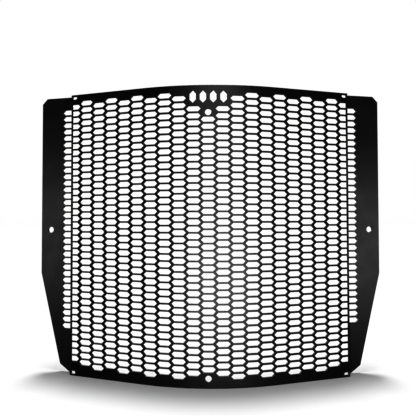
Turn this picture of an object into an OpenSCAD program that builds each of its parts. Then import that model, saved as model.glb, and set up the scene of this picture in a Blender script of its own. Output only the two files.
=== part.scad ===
// Radiator grille guard: a thin steel sheet, rolled across its middle and pierced all over with
// long hexagonal openings, with a set-back mounting wing along each side.
// +X right, +Y to the rear, +Z up; the middle of the bottom edge stands at z = 0.

/* [Sheet] */
// Thickness of the sheet
sheet_t = 2; // [1.5:0.1:2.5]
// Height of the guard
guard_h = 303; // [300:1:320]
// Inside radius of the folds
fold_r = 1; // [0.8:0.1:1.5]

/* [Centre panel] */
// Radius of the rolled middle, on its front face
roll_r = 262; // [240:2:300]
// Angle from the middle to each flat flank
flank_angle = 15; // [12:0.5:18]
// Distance from the middle to the outer fold, along the front face
panel_half_w = 153.5; // [152.5:0.5:155]

/* [Wings] */
// Distance that the sheet runs back between the two folds
step_l = 7.5; // [7:0.1:9]
// Angle of that step to the guard's width
step_angle = 72; // [65:1:80]
// Angle of the wing to the guard's width
wing_angle = 10.4; // [5:0.2:15]
// Width of a wing, from the inner fold
wing_w = 36; // [34:1:42]
// Corner cut from the wing's upper corner
top_chamfer = 6; // [2:0.5:10]
// Height at which the wing's lower taper starts
taper_top = 108; // [90:1:130]
// Height at which the taper ends
taper_bottom = 9; // [6:1:14]
// Width of the wing where the taper ends
taper_w = 12.4; // [12:0.2:16]

/* [Openings] */
// Distance between columns of openings
column_pitch = 15; // [15:0.1:15.2]
// Distance between openings in a column
row_pitch = 7.14; // [7.1:0.01:7.18]
// Length of an opening, from point to point
opening_l = 15; // [14:0.1:15]
// Height of an opening
opening_h = 5.4; // [4.6:0.1:5.6]
// Height of the lowest opening
lowest_row = 11.3; // [11:0.1:11.8]
// Distance from the inner fold to the wing's openings
wing_column = 3; // [2.5:0.1:4]

/* [Mounting holes] */
// Diameter of the four mounting holes
mount_d = 6.5; // [5.5:0.1:6.6]
// Height of the lower middle hole
low_mount_z = 9.5; // [9.2:0.1:9.8]
// Height of the upper middle hole
high_mount_z = 275.5; // [275.2:0.1:275.8]
// Height of the wing holes
wing_mount_z = 156; // [140:1:170]
// Distance from the inner fold to the wing holes
wing_mount_x = 24.5; // [20:0.5:28]

/* [Details] */
// Width of a slot at the end of an outer fold
relief_l = 5.8; // [4.5:0.1:5.8]
// Height of that slot
relief_h = 3; // [2.5:0.1:3.2]
// Height of its middle above the bottom edge, and below the top edge
relief_z = 3.4; // [3.2:0.1:3.8]
// Distance of its middle from the guard's middle, along the front face
relief_x = 149.7; // [149.5:0.1:150.2]
// Number of upright windows at the top
window_count = 4; // [2:1:4]
// Width of a window
window_w = 6.6; // [5:0.1:7]
// Height of a window
window_h = 12.6; // [10:0.1:13]
// Distance between windows
window_pitch = 10.4; // [9:0.1:10.6]
// Height of the middle of the windows
window_z = 291.3; // [291:0.1:291.8]

/* [Hidden] */
$fn = 96;

coating = [0.13, 0.13, 0.135];
// How far a cutter reaches past the sheet, and past a fold
past = 1;
past_fold = 1.3;
// Flats that make up the curve of a fold
fold_steps = 4;

// Columns are counted from the middle: the last full one, the one at the outer fold, and the wing's
last_full = 9;
fold_column = 10;
// [first row, last row] of the three shortened middle columns, of the full ones and of the outer ones
ROWS_MIDDLE = [1, 36];
ROWS_NEXT = [0, 37];
ROWS_FULL = [0, 39];
ROWS_FOLD = [1, 39];
ROWS_LEFT_WING = [5, 38];
ROWS_RIGHT_WING = [6, 38];

function degrees_of(arc, r) = arc / r * 180 / PI;
roll_half = roll_r * flank_angle * PI / 180;
outer_turn = step_angle - flank_angle;
inner_turn = step_angle - wing_angle;
// Distance from a fold's sharp corner to where its curve starts, on the front face
outer_tangent = (fold_r + sheet_t) * tan(outer_turn / 2);
inner_tangent = fold_r * tan(inner_turn / 2);
flank_l = panel_half_w - outer_tangent - roll_half;
opening_flat = (opening_l - opening_h) / 2;
// Where the outer fold crosses the openings of its column, and the inner fold those of the wing
fold_cut = panel_half_w - fold_column * column_pitch;

// Depth from the foremost line to the rear corner of a wing, which the origin halves
flank_depth = roll_r * (1 - cos(flank_angle)) + (panel_half_w - roll_half) * sin(flank_angle);
guard_depth = flank_depth + step_l * sin(step_angle) + wing_w * sin(wing_angle) + sheet_t * cos(wing_angle);

// Places its children on the front face, a distance along it from the middle
module on_panel(along) {
    rolled = sign(along) * min(abs(along), roll_half);
    translate([0, roll_r, 0])
        rotate([0, 0, degrees_of(rolled, roll_r)])
            translate([along - rolled, -roll_r, 0])
                children();
}

module on_step() {
    on_panel(panel_half_w)
        rotate([0, 0, outer_turn])
            children();
}

module on_wing() {
    on_step()
        translate([step_l, 0, 0])
            rotate([0, 0, -inner_turn])
                children();
}

// A flat stretch of sheet, with its front face on y = 0
module flat_sheet(from, to) {
    translate([from, 0, 0])
        cube([to - from, sheet_t, guard_h]);
}

// A curved stretch of sheet about the Z axis, from one heading to another
module curved_sheet(inner_r, from, to) {
    rotate([0, 0, from])
        rotate_extrude(angle = to - from)
            translate([inner_r, 0])
                square([sheet_t, guard_h]);
}

// Turns an outline drawn in X and Z into a cutter through the sheet
module through_sheet() {
    translate([0, sheet_t + past, 0])
        rotate([90, 0, 0])
            linear_extrude(height = sheet_t + 2 * past)
                children();
}

function half_height(x) = min(opening_h / 2, opening_l / 2 - abs(x));

// The part of an opening's outline that lies between two distances from its centre
module opening_outline(from, to) {
    corners = [for (x = [-opening_flat, opening_flat]) if (x > from && x < to) x];
    xs = concat([from], corners, [to]);
    lower = [for (x = xs) [x, -half_height(x)]];
    upper = [for (i = [len(xs) - 1:-1:0]) [xs[i], half_height(xs[i])]];
    polygon(concat(lower, upper));
}

// Openings of one column, which stand half a pitch higher in an odd column
module column(number, rows, from = -opening_l / 2, to = opening_l / 2) {
    shift = number % 2 == 0 ? 0 : row_pitch / 2;
    for (row = [rows[0]:rows[1]])
        translate([0, lowest_row + shift + row * row_pitch])
            opening_outline(from, to);
}

function rows_of(number) =
    number == 0 ? ROWS_MIDDLE :
    number == 1 ? ROWS_NEXT :
    ROWS_FULL;

module full_openings() {
    for (number = [-last_full:last_full])
        on_panel(number * column_pitch)
            through_sheet()
                column(abs(number), rows_of(abs(number)));
}

// The panel's part of the openings that the outer fold crosses
module flank_openings() {
    on_panel(fold_column * column_pitch)
        through_sheet()
            column(fold_column, ROWS_FOLD, to = fold_cut);
}

// The wing's part of them, with the fold's curve
module step_openings() {
    on_step()
        translate([-fold_cut, 0, 0])
            through_sheet()
                column(fold_column, ROWS_FOLD, from = fold_cut - past_fold);
}

module wing_openings(rows) {
    on_wing()
        translate([wing_column, 0, 0])
            through_sheet()
                column(fold_column + 1, rows, from = -wing_column - past_fold);
    on_step()
        translate([step_l + wing_column, 0, 0])
            through_sheet()
                column(fold_column + 1, rows, to = past_fold - wing_column);
}

// An upright hexagon
module window_outline() {
    point = window_w / 2;
    side = window_h / 2 - point;
    polygon([
        [0, -window_h / 2], [point, -side], [point, side],
        [0, window_h / 2], [-point, side], [-point, -side]
    ]);
}

module windows() {
    through_sheet()
        for (i = [0:window_count - 1])
            translate([(i - (window_count - 1) / 2) * window_pitch, window_z])
                window_outline();
}

// A slot with round ends, along X
module relief_slot() {
    straight = relief_l - relief_h;
    on_panel(relief_x)
        through_sheet() {
            square([straight, relief_h], center = true);
            translate([-straight / 2, 0])
                circle(d = relief_h);
            translate([straight / 2, 0])
                circle(d = relief_h);
        }
}

module fold_reliefs() {
    for (z = [relief_z, guard_h - relief_z])
        translate([0, 0, z])
            relief_slot();
}

// A mounting hole square to the sheet
module mount_hole(z) {
    translate([0, sheet_t + past, z])
        rotate([90, 0, 0])
            cylinder(d = mount_d, h = sheet_t + 2 * past);
}

module centre_blank() {
    translate([0, roll_r, 0])
        curved_sheet(roll_r - sheet_t, -90 - flank_angle, -90 + flank_angle);
    for (side = [0, 1])
        mirror([side, 0, 0])
            on_panel(roll_half)
                flat_sheet(0, flank_l);
}

function heading(angle) = [cos(angle), sin(angle)];

// Points of a fold's curve, as short flats
function fold_curve(centre, r, from, to) =
    [for (i = [0:fold_steps]) centre + r * heading(from + (to - from) * i / fold_steps)];

// A wing seen from above, with its inner fold's sharp corner at the origin and the wing along X
module wing_section() {
    flank_heading = flank_angle - wing_angle;
    rear = flank_heading + 90;
    outer_corner = -step_l * heading(inner_turn);
    outer_start = outer_corner - outer_tangent * heading(flank_heading);
    outer_centre = outer_start + (fold_r + sheet_t) * heading(rear);
    inner_centre = [inner_tangent, -fold_r];
    polygon(concat(
        fold_curve(outer_centre, fold_r + sheet_t, flank_heading - 90, inner_turn - 90),
        fold_curve(inner_centre, fold_r, inner_turn + 90, 90),
        [[wing_w, 0], [wing_w, sheet_t]],
        fold_curve(inner_centre, fold_r + sheet_t, 90, inner_turn + 90),
        fold_curve(outer_centre, fold_r, inner_turn - 90, flank_heading - 90)
    ));
}

// The corners that are cut from the wing's full height
module wing_corners() {
    through_sheet() {
        polygon([
            [wing_w - top_chamfer, guard_h], [wing_w, guard_h - top_chamfer],
            [wing_w + past, guard_h - top_chamfer], [wing_w + past, guard_h + past],
            [wing_w - top_chamfer, guard_h + past]
        ]);
        polygon([
            [0, 0], [taper_w, taper_bottom], [wing_w, taper_top],
            [wing_w + past, taper_top], [wing_w + past, -past], [0, -past]
        ]);
    }
}

// A wing, with the first and last row of its openings
module wing(rows) {
    color(coating)
        translate([0, -guard_depth / 2, 0])
            difference() {
                on_wing()
                    linear_extrude(height = guard_h)
                        wing_section();
                on_wing()
                    wing_corners();
                step_openings();
                wing_openings(rows);
                fold_reliefs();
                on_wing()
                    translate([wing_mount_x, 0, 0])
                        mount_hole(wing_mount_z);
            }
}

module centre_panel() {
    color(coating)
        translate([0, -guard_depth / 2, 0])
            difference() {
                centre_blank();
                full_openings();
                for (side = [0, 1])
                    mirror([side, 0, 0]) {
                        flank_openings();
                        fold_reliefs();
                    }
                windows();
                mount_hole(low_mount_z);
                mount_hole(high_mount_z);
            }
}

module left_wing() {
    mirror([1, 0, 0])
        wing(ROWS_LEFT_WING);
}

module right_wing() {
    wing(ROWS_RIGHT_WING);
}

centre_panel();
left_wing();
right_wing();
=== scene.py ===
"""Radiator grille guard on a pale studio floor. Metres, in the CAD frame: +Y is to the rear."""

import math

import bmesh
import bpy
import numpy as np
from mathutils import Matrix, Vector
from mathutils.geometry import delaunay_2d_cdt


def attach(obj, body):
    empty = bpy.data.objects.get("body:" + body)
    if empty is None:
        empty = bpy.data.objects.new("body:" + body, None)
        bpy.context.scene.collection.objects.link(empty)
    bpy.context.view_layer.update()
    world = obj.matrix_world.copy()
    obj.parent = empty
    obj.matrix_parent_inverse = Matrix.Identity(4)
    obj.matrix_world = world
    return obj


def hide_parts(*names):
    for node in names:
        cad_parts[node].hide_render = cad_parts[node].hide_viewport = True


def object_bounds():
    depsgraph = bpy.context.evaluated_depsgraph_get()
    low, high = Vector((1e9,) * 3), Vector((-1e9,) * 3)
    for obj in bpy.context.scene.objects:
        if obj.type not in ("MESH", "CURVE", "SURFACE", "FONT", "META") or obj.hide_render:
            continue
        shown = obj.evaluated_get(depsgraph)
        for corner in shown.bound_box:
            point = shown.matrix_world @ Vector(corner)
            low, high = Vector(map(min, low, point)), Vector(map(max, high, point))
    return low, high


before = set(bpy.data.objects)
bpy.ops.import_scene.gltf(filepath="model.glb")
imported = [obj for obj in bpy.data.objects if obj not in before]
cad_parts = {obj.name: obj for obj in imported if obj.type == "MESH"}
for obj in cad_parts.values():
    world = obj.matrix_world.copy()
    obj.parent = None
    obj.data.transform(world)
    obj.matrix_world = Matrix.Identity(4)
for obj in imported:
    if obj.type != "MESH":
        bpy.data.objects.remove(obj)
cad_low, cad_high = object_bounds()

# Camera: place, then tilts in degrees, then lens in millimetres
CAMERA_AT = (0.00693, -0.40829, 0.17016)
CAMERA_PITCH, CAMERA_YAW, CAMERA_ROLL = 1.295, 1.065, 0.095
LENS = 33.37

# Sheet sizes in millimetres, as in the CAD
SHEET = 2.0
HEIGHT = 303.0
EDGE = 0.35  # radius of the coated edges
FOLD_R = 1.0  # inside radius of the folds
ROLL_R, FLANK = 262.0, math.radians(15.0)
PANEL_HALF = 153.5
STEP, STEP_ANGLE = 7.5, math.radians(72.0)
WING, WING_ANGLE = 36.0, math.radians(10.4)
WING_START = PANEL_HALF + STEP
TOP_CUT = 6.0
TAPER = ((12.4, 9.0), (WING, 108.0))
# Openings
PITCH, ROW = 15.0, 7.14
HALF_L, HALF_H = 7.5, 2.7
LOWEST = 11.3
WING_COLUMN = WING_START + 3.0
# First and last row of a column, counted from the middle. The right wing has one row fewer
ROWS = {0: (1, 36), 1: (0, 37), 10: (1, 39), 11: (6, 38), -11: (5, 38)}
ROWS_FULL = (0, 39)
# Mounting holes: distance along the sheet, height
HOLE_R = 3.25
HOLES = ((0.0, 9.5), (0.0, 275.5), (WING_START + 24.5, 156.0), (-WING_START - 24.5, 156.0))
# Slots at the ends of the outer folds, and the windows
SLOT_AT, SLOT_Z, SLOT_L, SLOT_H = 149.7, 3.4, 5.8, 3.0
WINDOWS, WINDOW_PITCH, WINDOW_Z, WINDOW_W, WINDOW_H = 4, 10.4, 291.3, 6.6, 12.6

ROLL_HALF = ROLL_R * FLANK
OUTER_TURN = STEP_ANGLE - FLANK
INNER_TURN = STEP_ANGLE - WING_ANGLE
OUTER_TANGENT = (FOLD_R + SHEET) * math.tan(OUTER_TURN / 2)
INNER_TANGENT = FOLD_R * math.tan(INNER_TURN / 2)
FOLD_START = PANEL_HALF - OUTER_TANGENT

# How the flat sheet is divided into faces, in millimetres
ROLL_STRIP = 6.15  # the roll is divided at the middle of each column and this far to each side
SHORTEST_CUT = 0.9  # sides that run less far along the sheet aren't divided
CLEAR_OF_CORNER = 0.05
CLEAR_OF_HOLE = 0.6
NEAR = 1e-6
BEYOND = 1e4  # farther along than any part of the sheet


def heading(angle):
    return np.array([math.cos(angle), math.sin(angle)])


def front_line(u):
    """Point of the front face seen from above, and its heading, at a distance along the sheet."""
    side, u = (-1.0, -u) if u < 0 else (1.0, u)
    roll_end = ROLL_R * np.array([math.sin(FLANK), 1 - math.cos(FLANK)])
    outer = roll_end + (PANEL_HALF - ROLL_HALF) * heading(FLANK)
    inner = outer + STEP * heading(STEP_ANGLE)
    if u <= ROLL_HALF:
        angle = u / ROLL_R
        at = ROLL_R * np.array([math.sin(angle), 1 - math.cos(angle)])
    elif u <= FOLD_START:
        angle = FLANK
        at = outer + (u - PANEL_HALF) * heading(angle)
    elif u < PANEL_HALF + OUTER_TANGENT:
        angle = FLANK + OUTER_TURN * (u - FOLD_START) / (2 * OUTER_TANGENT)
        radius = FOLD_R + SHEET
        centre = outer - OUTER_TANGENT * heading(FLANK) + radius * heading(FLANK + math.pi / 2)
        at = centre - radius * heading(angle + math.pi / 2)
    elif u <= WING_START - INNER_TANGENT:
        angle = STEP_ANGLE
        at = outer + (u - PANEL_HALF) * heading(angle)
    elif u < WING_START + INNER_TANGENT:
        angle = STEP_ANGLE - INNER_TURN * (u - WING_START + INNER_TANGENT) / (2 * INNER_TANGENT)
        start = inner - INNER_TANGENT * heading(STEP_ANGLE)
        at = start + FOLD_R * (heading(angle + math.pi / 2) - heading(STEP_ANGLE + math.pi / 2))
    else:
        angle = WING_ANGLE
        at = inner + (u - WING_START) * heading(angle)
    return np.array([side * at[0], at[1]]), side * angle


def cross_lines(points, lines):
    """Adds a point wherever one of the upright lines crosses a long enough side of a closed outline."""
    made = []
    for a, b in zip(points, points[1:] + points[:1]):
        made.append(a)
        if abs(b[0] - a[0]) < SHORTEST_CUT:
            continue
        lo, hi = sorted((a[0], b[0]))
        inside = [u for u in lines if lo + CLEAR_OF_CORNER < u < hi - CLEAR_OF_CORNER]
        for u in sorted(inside, reverse=b[0] < a[0]):
            t = (u - a[0]) / (b[0] - a[0])
            made.append((u, a[1] + t * (b[1] - a[1])))
    return made


def hexagon(u, z):
    flat = HALF_L - HALF_H
    return [
        (u + HALF_L, z), (u + flat, z + HALF_H), (u - flat, z + HALF_H),
        (u - HALF_L, z), (u - flat, z - HALF_H), (u + flat, z - HALF_H),
    ]


def window(u, z):
    w, side = WINDOW_W / 2, WINDOW_H / 2 - WINDOW_W / 2
    return [
        (u + w, z - side), (u + w, z + side), (u, z + WINDOW_H / 2),
        (u - w, z + side), (u - w, z - side), (u, z - WINDOW_H / 2),
    ]


def circle(u, z, radius, count=48):
    turns = [2 * math.pi * i / count for i in range(count)]
    return [(u + radius * math.cos(t), z + radius * math.sin(t)) for t in turns]


def slot(u, z):
    """A round-ended slot, with a point of its outline where the panel meets the wing."""
    radius, straight = SLOT_H / 2, (SLOT_L - SLOT_H) / 2
    side = math.copysign(1.0, u)
    meet = math.acos((FOLD_START - abs(u) - straight) / radius)
    outer = [meet * i / 5 for i in range(-5, 6)]
    rest = [meet + (math.pi / 2 - meet) * i / 4 for i in range(1, 5)]
    turns = [-t for t in reversed(rest)] + outer + rest
    right = [(straight + radius * math.cos(t), radius * math.sin(t)) for t in turns]
    inner = [math.pi / 2 + math.pi * i / 12 for i in range(13)]
    left = [(-straight + radius * math.cos(t), radius * math.sin(t)) for t in inner]
    points = [(u + side * a, z + b) for a, b in right + left]
    return points if side > 0 else points[::-1]


def outline():
    """The flat blank, clockwise, so that the metal is on the right of every side as it is round a hole."""
    (w1, z1), (w2, z2) = TAPER
    right = [
        (WING_START, 0.0), (WING_START + w1, z1), (WING_START + w2, z2),
        (WING_START + WING, HEIGHT - TOP_CUT), (WING_START + WING - TOP_CUT, HEIGHT),
    ]
    left = [(-u, z) for u, z in reversed(right)]
    return list(reversed(right + left))


def bend_lines():
    """Upright lines along which the flat sheet is divided, so that it can bend there."""
    lines = []
    for column in range(0, 6):
        for offset in (-ROLL_STRIP, 0.0, ROLL_STRIP):
            u = column * PITCH + offset
            if 0 <= u < ROLL_HALF + 1.0:
                lines.append(u)
    lines += [FOLD_START + 2 * OUTER_TANGENT * i / 6 for i in range(7)]
    lines += [WING_START + INNER_TANGENT * t for t in (-1.0, -0.45, 0.3, 1.0)]
    return sorted(set([-u for u in lines] + lines))


def mitred(points, distance, smooth):
    """The outline moved into the metal, with each side's direction towards the open side of it."""
    p = np.array(points)
    along = np.roll(p, -1, axis=0) - p
    along /= np.linalg.norm(along, axis=1)[:, None]
    open_side = np.column_stack([-along[:, 1], along[:, 0]])
    before = np.roll(open_side, 1, axis=0)
    corner = (open_side + before) / (1 + (open_side * before).sum(1))[:, None]
    if smooth:
        unit = corner / np.linalg.norm(corner, axis=1)[:, None]
        first, second = unit, np.roll(unit, -1, axis=0)
    else:
        first = second = open_side
    return p - distance * corner, first, second


def edge_steps():
    """Levels of the rounded edge, from the front face to the rear: (distance into the metal, depth, tilt)."""
    steps = []
    for tilt in (0.0, 30.0, 60.0, 90.0):
        t = math.radians(tilt)
        steps.append((EDGE * (1 - math.sin(t)), EDGE * (1 - math.cos(t)), t))
    return steps + [(off, SHEET - depth, math.pi - t) for off, depth, t in reversed(steps)]


def regular_openings(lines):
    """The staggered columns of hexagons."""
    shapes = []
    for column in range(-11, 12):
        k = abs(column)
        first, last = ROWS.get(column, ROWS.get(k, ROWS_FULL))
        centre = math.copysign(WING_COLUMN, column) if k == 11 else column * PITCH
        shift = ROW / 2 if k % 2 else 0.0
        for row in range(first, last + 1):
            shapes.append(cross_lines(hexagon(centre, LOWEST + shift + row * ROW), lines))
    return shapes


def single_openings():
    """Mounting holes, slots and windows, each with whether its edge is smoothly round."""
    shapes = [(circle(u, z, HOLE_R), True) for u, z in HOLES]
    for u in (-SLOT_AT, SLOT_AT):
        for z in (SLOT_Z, HEIGHT - SLOT_Z):
            shapes.append((slot(u, z), True))
    for i in range(WINDOWS):
        shapes.append((window((i - (WINDOWS - 1) / 2) * WINDOW_PITCH, WINDOW_Z), False))
    return shapes


def cut_edges(rings):
    """The rounded cut edge along every ring, front to rear, as a stack of moved rings.

    Gives its points (along, height, depth), its faces, the normals of their corners, each point's
    share of edge, which is 0 on the flat faces and 1 on the cut edge, and where each ring starts.
    """
    steps = edge_steps()
    points, faces, normals, share, starts = [], [], [], [], []
    start = 0
    for shape, smooth in rings:
        n = len(shape)
        starts.append(start)
        for off, depth, _ in steps:
            moved, first, second = mitred(shape, off, smooth)
            points.append(np.column_stack([moved, np.full(n, depth)]))
        for level in range(len(steps) - 1):
            tilts = (steps[level][2], steps[level + 1][2])
            for i in range(n):
                j = (i + 1) % n
                a, b = start + level * n, start + (level + 1) * n
                faces.append((a + i, a + j, b + j, b + i))
                ways = (first[i], second[i], second[i], first[i])
                for way, tilt in zip(ways, (tilts[0], tilts[0], tilts[1], tilts[1])):
                    normals.append((way[0] * math.sin(tilt), way[1] * math.sin(tilt), -math.cos(tilt)))
        share += [math.sin(tilt) for _, _, tilt in steps for _ in range(n)]
        start += n * len(steps)
    return np.vstack(points), faces, normals, np.array(share), starts


def dividing_edges(lines, base, flat, owner, singles, regular_count):
    """Stretches of the bend lines that lie in the metal, as pairs of points."""
    boxes = []
    for shape, _ in singles:
        along, heights = np.array(shape).T
        boxes.append((along.min(), along.max(), heights.min(), heights.max()))
    edges = []
    for u in lines:
        at_seam = abs(abs(u) - FOLD_START) < NEAR
        on_line = np.nonzero(np.abs(base[:, 0] - u) < NEAR)[0]
        hits = [i for i in on_line if at_seam or owner[i] < regular_count]
        hits.sort(key=lambda i: flat[i, 1])
        for a, b in zip(hits[0::2], hits[1::2]):
            crossed = any(
                lo - CLEAR_OF_HOLE < u < hi + CLEAR_OF_HOLE and flat[a, 1] < top and flat[b, 1] > bottom
                for lo, hi, bottom, top in boxes
            )
            if at_seam or not crossed:
                edges.append((int(a), int(b)))
    return edges


def flat_sheet():
    """The whole blank before it is bent: points, faces, normals of the corners, share of edge."""
    lines = bend_lines()
    rings = [(cross_lines(outline(), lines), False)]
    rings += [(shape, False) for shape in regular_openings(lines)]
    regular_count = len(rings)
    singles = single_openings()
    rings += singles
    points, faces, normals, share, starts = cut_edges(rings)
    # the flat faces, between the rings
    owner, index, rear, edges = [], [], [], []
    for number, (shape, _) in enumerate(rings):
        n = len(shape)
        to_rear = (len(edge_steps()) - 1) * n
        place = len(owner)
        edges += [(place + i, place + (i + 1) % n) for i in range(n)]
        owner += [number] * n
        index += [starts[number] + i for i in range(n)]
        rear += [starts[number] + to_rear + i for i in range(n)]
    flat = points[index][:, :2]
    base = np.vstack([np.array(shape) for shape, _ in rings])
    edges += dividing_edges(lines, base, flat, owner, singles, regular_count)
    made = delaunay_2d_cdt([Vector(p) for p in flat], edges, [], 0, 1e-7)
    assert len(made[0]) == len(flat), (len(made[0]), len(flat))
    back = [ids[0] for ids in made[3]]
    for triangle in made[2]:
        a, b, c = (back[i] for i in triangle)
        if owner[a] == owner[b] == owner[c] and owner[a] > 0:
            continue
        (ua, za), (ub, zb), (uc, zc) = flat[a], flat[b], flat[c]
        area = (ub - ua) * (zc - za) - (uc - ua) * (zb - za)
        if abs(area) < NEAR:
            continue
        if area < 0:
            b, c = c, b
        faces.append((index[a], index[b], index[c]))
        normals += [(0.0, 0.0, -1.0)] * 3
        faces.append((rear[a], rear[c], rear[b]))
        normals += [(0.0, 0.0, 1.0)] * 3
    return points, faces, np.array(normals), share


class Shader:
    """A new node material, and short ways to add and join its nodes."""

    def __init__(self, name):
        self.material = bpy.data.materials.new(name)
        self.material.use_nodes = True
        self.tree = self.material.node_tree
        self.tree.nodes.clear()
        self.output = self.add("ShaderNodeOutputMaterial")
        self.surface = self.add("ShaderNodeBsdfPrincipled")
        self.join(self.surface, "BSDF", self.output, "Surface")

    def add(self, kind, **settings):
        node = self.tree.nodes.new(kind)
        for key, value in settings.items():
            setattr(node, key, value)
        return node

    def join(self, source, out, target, into):
        self.tree.links.new(source.outputs[out], target.inputs[into])

    def noise(self, coordinates, scale, detail=3.0, roughness=0.5):
        node = self.add("ShaderNodeTexNoise")
        self.join(coordinates, "Object", node, "Vector")
        node.inputs["Scale"].default_value = scale
        node.inputs["Detail"].default_value = detail
        node.inputs["Roughness"].default_value = roughness
        return node

    def ramp(self, source, out, low, high, dark, light):
        """Maps the source's value from low..high to dark..light, clamped."""
        node = self.add("ShaderNodeMapRange", clamp=True)
        self.join(source, out, node, "Value")
        node.inputs["From Min"].default_value = low
        node.inputs["From Max"].default_value = high
        node.inputs["To Min"].default_value = dark
        node.inputs["To Max"].default_value = light
        return node


def mix_colours(shader, factor, factor_out, first, second):
    """Mixes two colours by the factor. The first can be another mix."""
    node = shader.add("ShaderNodeMix", data_type="RGBA")
    shader.join(factor, factor_out, node, "Factor")
    if isinstance(first, bpy.types.Node):
        shader.join(first, "Result", node, "A")
    else:
        node.inputs["A"].default_value = (*first, 1.0)
    node.inputs["B"].default_value = (*second, 1.0)
    return node


def powder_coat():
    """Satin black powder coat: uneven colour and gloss, edges lightened partly as rubbed wear and partly as a
    painted edge highlight, and the cured powder's fine peel.
    """
    shader = Shader("powder_coat")
    place = shader.add("ShaderNodeTexCoord")
    cloudy = shader.noise(place, 14.0, 4.0)
    colour = mix_colours(shader, cloudy, "Fac", (0.0032, 0.0032, 0.0034), (0.0058, 0.0057, 0.0056))
    # Cut edges get a lighter colour in noisy patches: partly rubbed wear of the coat, partly a painted
    # highlight along the edges
    edge = shader.add("ShaderNodeAttribute", attribute_name="edge")
    edge_patch_noise = shader.noise(place, 90.0, 4.0)
    edge_lightening_amount = shader.ramp(edge_patch_noise, "Fac", 0.42, 0.66, 0.1, 0.7)
    wear_and_highlight_mask = shader.add("ShaderNodeMath", operation="MULTIPLY")
    shader.join(edge, "Fac", wear_and_highlight_mask, 0)
    shader.join(edge_lightening_amount, "Result", wear_and_highlight_mask, 1)
    worn_and_highlit_edges = mix_colours(shader, wear_and_highlight_mask, "Value", colour, (0.019, 0.0185, 0.018))
    shader.join(worn_and_highlit_edges, "Result", shader.surface, "Base Color")
    patches = shader.noise(place, 45.0, 5.0)
    gloss = shader.ramp(patches, "Fac", 0.3, 0.7, 0.27, 0.34)
    shader.join(gloss, "Result", shader.surface, "Roughness")
    peel = shader.noise(place, 620.0, 2.0)
    grain = shader.noise(place, 2600.0, 2.0)
    coarse = shader.add("ShaderNodeBump")
    coarse.inputs["Strength"].default_value = 0.12
    coarse.inputs["Distance"].default_value = 0.0004
    shader.join(peel, "Fac", coarse, "Height")
    fine = shader.add("ShaderNodeBump")
    fine.inputs["Strength"].default_value = 0.2
    fine.inputs["Distance"].default_value = 0.00008
    shader.join(grain, "Fac", fine, "Height")
    shader.join(coarse, "Normal", fine, "Normal")
    shader.join(fine, "Normal", shader.surface, "Normal")
    shader.surface.inputs["Specular IOR Level"].default_value = 0.5
    return shader.material


def floor_material():
    shader = Shader("studio_floor")
    shader.surface.inputs["Base Color"].default_value = (0.9, 0.9, 0.9, 1.0)
    shader.surface.inputs["Roughness"].default_value = 0.9
    shader.surface.inputs["Specular IOR Level"].default_value = 0.1
    return shader.material


coat = powder_coat()


def bend(points, normals, corners):
    """The flat points and corner normals carried to their places in the CAD frame, in metres."""
    lines = {}
    for u in np.unique(points[:, 0]):
        lines[u] = front_line(u)
    at = np.array([lines[u][0] for u in points[:, 0]])
    turn = np.array([lines[u][1] for u in points[:, 0]])
    x = at[:, 0] - points[:, 2] * np.sin(turn)
    y = at[:, 1] + points[:, 2] * np.cos(turn)
    placed = np.column_stack([x, y, points[:, 1]]) / 1000.0
    placed[:, 1] += cad_low.y
    placed[:, 2] += cad_low.z
    turn = turn[corners]
    c, s = np.cos(turn), np.sin(turn)
    along, up, deep = normals.T
    return placed, np.column_stack([along * c - deep * s, along * s + deep * c, up])


def sheet_piece(name, node, points, faces, normals, edge_share):
    """One piece of the bent sheet as a closed mesh with its own corner normals. It stands for a CAD node."""
    used = sorted({i for f in faces for i in f})
    new = {old: i for i, old in enumerate(used)}
    mesh = bpy.data.meshes.new(name)
    mesh.from_pydata([tuple(points[i]) for i in used], [], [tuple(new[i] for i in f) for f in faces])
    work = bmesh.new()
    work.from_mesh(mesh)
    middle = sum((v.co for v in work.verts), Vector()) / len(work.verts)
    open_edges = [e for e in work.edges if e.is_boundary]
    caps = bmesh.ops.holes_fill(work, edges=open_edges, sides=0)["faces"]
    for cap in caps:
        cap.normal_update()
        if cap.normal.x * (cap.calc_center_median().x - middle.x) < 0:
            cap.normal_flip()
    cap_normals = [tuple(cap.normal) for cap in caps for _ in cap.loops]
    work.to_mesh(mesh)
    work.free()
    share = mesh.attributes.new("edge", "FLOAT", "POINT")
    share.data.foreach_set("value", edge_share[used].astype(np.float32))
    mesh.polygons.foreach_set("use_smooth", [True] * len(mesh.polygons))
    mesh.normals_split_custom_set([tuple(n) for n in normals] + cap_normals)
    mesh.materials.append(coat)
    piece = bpy.data.objects.new(name, mesh)
    bpy.context.scene.collection.objects.link(piece)
    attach(piece, "root")
    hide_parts(node)
    return piece


def build_guard():
    flat, faces, normals, share = flat_sheet()
    corners = np.array([i for f in faces for i in f])
    placed, turned = bend(flat, normals, corners)
    sizes = np.array([len(f) for f in faces])
    ends = np.cumsum(sizes)
    for name, node, low, high in (
        ("centre_sheet", "centre_panel", -FOLD_START, FOLD_START),
        ("left_wing_sheet", "left_wing", -BEYOND, -FOLD_START),
        ("right_wing_sheet", "right_wing", FOLD_START, BEYOND),
    ):
        own, own_normals = [], []
        for face, end, size in zip(faces, ends, sizes):
            if low < sum(flat[i][0] for i in face) / size < high:
                own.append(face)
                own_normals.append(turned[end - size:end])
        sheet_piece(name, node, placed, own, np.vstack(own_normals), share)


build_guard()

# Floor. It takes the shadow, gives no light back to the guard, isn't seen in reflections, and
# casts no shadow itself, because the low softbox reaches below it
bpy.ops.mesh.primitive_plane_add(size=40.0, location=(0.0, 0.0, cad_low.z))
floor = bpy.context.object
floor.name = "studio_floor"
floor.data.materials.append(floor_material())
floor.visible_glossy = False
floor.visible_diffuse = False
floor.visible_shadow = False


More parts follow.
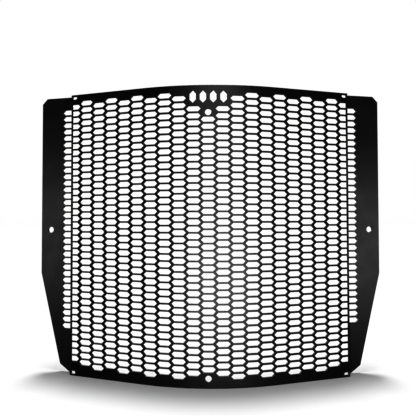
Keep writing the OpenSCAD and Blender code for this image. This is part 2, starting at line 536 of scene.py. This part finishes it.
def area_light(name, at, towards, width, height, watts):
    data = bpy.data.lights.new(name, "AREA")
    data.shape = "RECTANGLE"
    data.size = width
    data.size_y = height
    data.energy = watts
    lamp = bpy.data.objects.new(name, data)
    bpy.context.scene.collection.objects.link(lamp)
    lamp.visible_camera = False
    lamp.location = at
    lamp.rotation_euler = (Vector(towards) - Vector(at)).to_track_quat("-Z", "Y").to_euler()
    return lamp


def sun(name, tilt, spread, strength):
    data = bpy.data.lights.new(name, "SUN")
    data.energy = strength
    data.angle = math.radians(spread)
    lamp = bpy.data.objects.new(name, data)
    bpy.context.scene.collection.objects.link(lamp)
    lamp.rotation_euler.x = math.radians(tilt)
    return lamp


def light_only(label, lamps, names):
    """Flags the lamps so that they light only these objects."""
    lit = bpy.data.collections.new(label)
    for name in names:
        lit.objects.link(bpy.data.objects[name])
    for lamp in lamps:
        lamp.light_linking.receiver_collection = lit


# Two lamps overhead: the stronger one leans to the rear, so that the shadow falls in front
sun("overhead_rear", -6.1, 8.6, 2.15)
sun("overhead_front", 2.5, 10.0, 1.15)
# A low softbox and a weaker high one beside the camera, one behind, and a tall one for each wing
front_low = area_light("front_low", (0.115, -0.78, -0.02), (0.014, 0.0, 0.09), 0.62, 0.28, 3.1)
front_high = area_light("front_high", (0.07, -0.78, 0.45), (0.014, 0.0, 0.22), 0.4, 0.6, 1.5)
rear_box = area_light("rear_box", (-0.25, 0.95, 0.55), (0.0, 0.0, 0.15), 0.7, 0.5, 7.0)
left_box = area_light("left_box", (-1.05, -0.9, 0.1), (-0.17, 0.0, 0.12), 0.26, 0.5, 1.25)
right_box = area_light("right_box", (1.0, -0.9, 0.05), (0.17, 0.0, 0.12), 0.26, 0.5, 1.75)
WING_SHEETS = ("left_wing_sheet", "right_wing_sheet")
light_only("wings", (left_box, right_box), WING_SHEETS)
light_only("guard", (front_low, front_high, rear_box), ("centre_sheet", *WING_SHEETS))

# World: white behind the object, with a weak fill
world = bpy.data.worlds.new("studio")
bpy.context.scene.world = world
world.use_nodes = True
tree = world.node_tree
tree.nodes.clear()
out = tree.nodes.new("ShaderNodeOutputWorld")
seen = tree.nodes.new("ShaderNodeBackground")
seen.inputs["Color"].default_value = (1.0, 1.0, 1.0, 1.0)
seen.inputs["Strength"].default_value = 1.0
fill = tree.nodes.new("ShaderNodeBackground")
fill.inputs["Color"].default_value = (1.0, 1.0, 1.0, 1.0)
fill.inputs["Strength"].default_value = 0.1
path = tree.nodes.new("ShaderNodeLightPath")
blend = tree.nodes.new("ShaderNodeMixShader")
tree.links.new(path.outputs["Is Camera Ray"], blend.inputs["Fac"])
tree.links.new(fill.outputs["Background"], blend.inputs[1])
tree.links.new(seen.outputs["Background"], blend.inputs[2])
tree.links.new(blend.outputs["Shader"], out.inputs["Surface"])

# Display: a gamma under 1 deepens the thin webs between the openings
scene = bpy.context.scene
scene.view_settings.view_transform = "Standard"
scene.view_settings.gamma = 0.65

# Camera, tilted up from level by the pitch
camera_data = bpy.data.cameras.new("camera")
camera_data.sensor_width = 36.0
camera_data.lens = LENS
camera_data.clip_start = 0.01
camera = bpy.data.objects.new("camera", camera_data)
camera.location = CAMERA_AT
camera.rotation_euler = (
    math.radians(90.0 + CAMERA_PITCH),
    math.radians(CAMERA_ROLL),
    math.radians(CAMERA_YAW),
)
scene.collection.objects.link(camera)
scene.camera = camera
